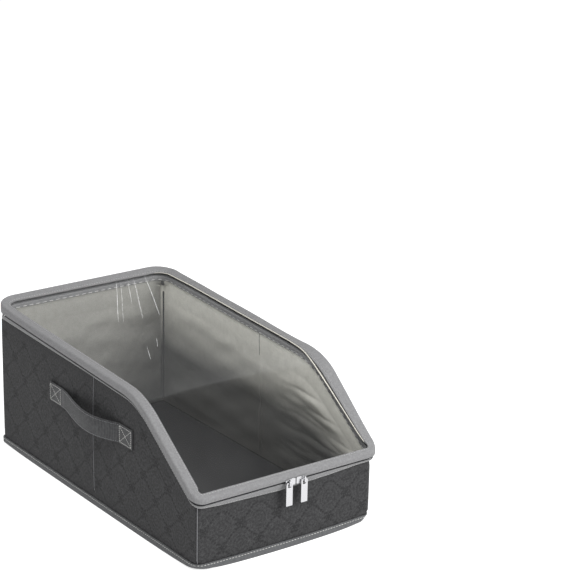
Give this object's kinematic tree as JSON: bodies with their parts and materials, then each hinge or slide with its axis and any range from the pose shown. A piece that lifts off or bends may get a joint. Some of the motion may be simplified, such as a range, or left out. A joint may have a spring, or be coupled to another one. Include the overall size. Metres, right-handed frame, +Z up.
{
  "type": "cap storage case",
  "caption": "Soft fabric storage case for caps, low at the front and high at the back, with a sloping clear film lid zipped round its mouth and strap handles on its sides.",
  "frame": {"origin": "middle of the case's flat underside, on the floor", "axes": "+Z up, -Y towards the low front with the zip pulls, +X towards the right wall as seen from the front"},
  "size_m": [0.2714, 0.4552, 0.1865],
  "materials": {
    "outer_fabric": "matt non-woven cloth over board, lightly embossed",
    "base_fabric": "matt non-woven cloth over board",
    "lining_fabric": "matt light grey cloth",
    "grey_tape": "woven grosgrain tape",
    "base_tape": "woven tape",
    "coil_plastic": "moulded coil",
    "webbing": "ribbed webbing",
    "zip_metal": "bright plated",
    "clear_film": "clear flexible film"
  },
  "bodies": {
    "case": {"base_panel": "base_fabric", "base_binding": "base_tape", "front_wall": "outer_fabric", "right_wall": "outer_fabric", "back_wall": "outer_fabric", "left_wall": "outer_fabric", "lining": "lining_fabric", "rim_binding": "grey_tape", "body_zip_tape": "grey_tape", "lid_zip_tape": "grey_tape", "hinge_tape": "grey_tape", "zip_coil_left": "coil_plastic", "zip_coil_right": "coil_plastic", "lid_film": "clear_film", "lid_binding": "grey_tape", "slider_left": "zip_metal", "slider_right": "zip_metal", "handle_left": "webbing", "handle_right": "webbing"},
    "left_pull": {"pull_left": "zip_metal"},
    "right_pull": {"pull_right": "zip_metal"}
  },
  "joints": [
    {"name": "left_pull_swing", "type": "hinge", "parent": "case", "child": "left_pull", "pos_m": [-0.00365, -0.2278, 0.0817], "axis": [-1, 0, 0], "range_deg": [-6, 170]},
    {"name": "right_pull_swing", "type": "hinge", "parent": "case", "child": "right_pull", "pos_m": [0.01685, -0.2278, 0.0817], "axis": [-1, 0, 0], "range_deg": [-6, 170]}
  ]
}
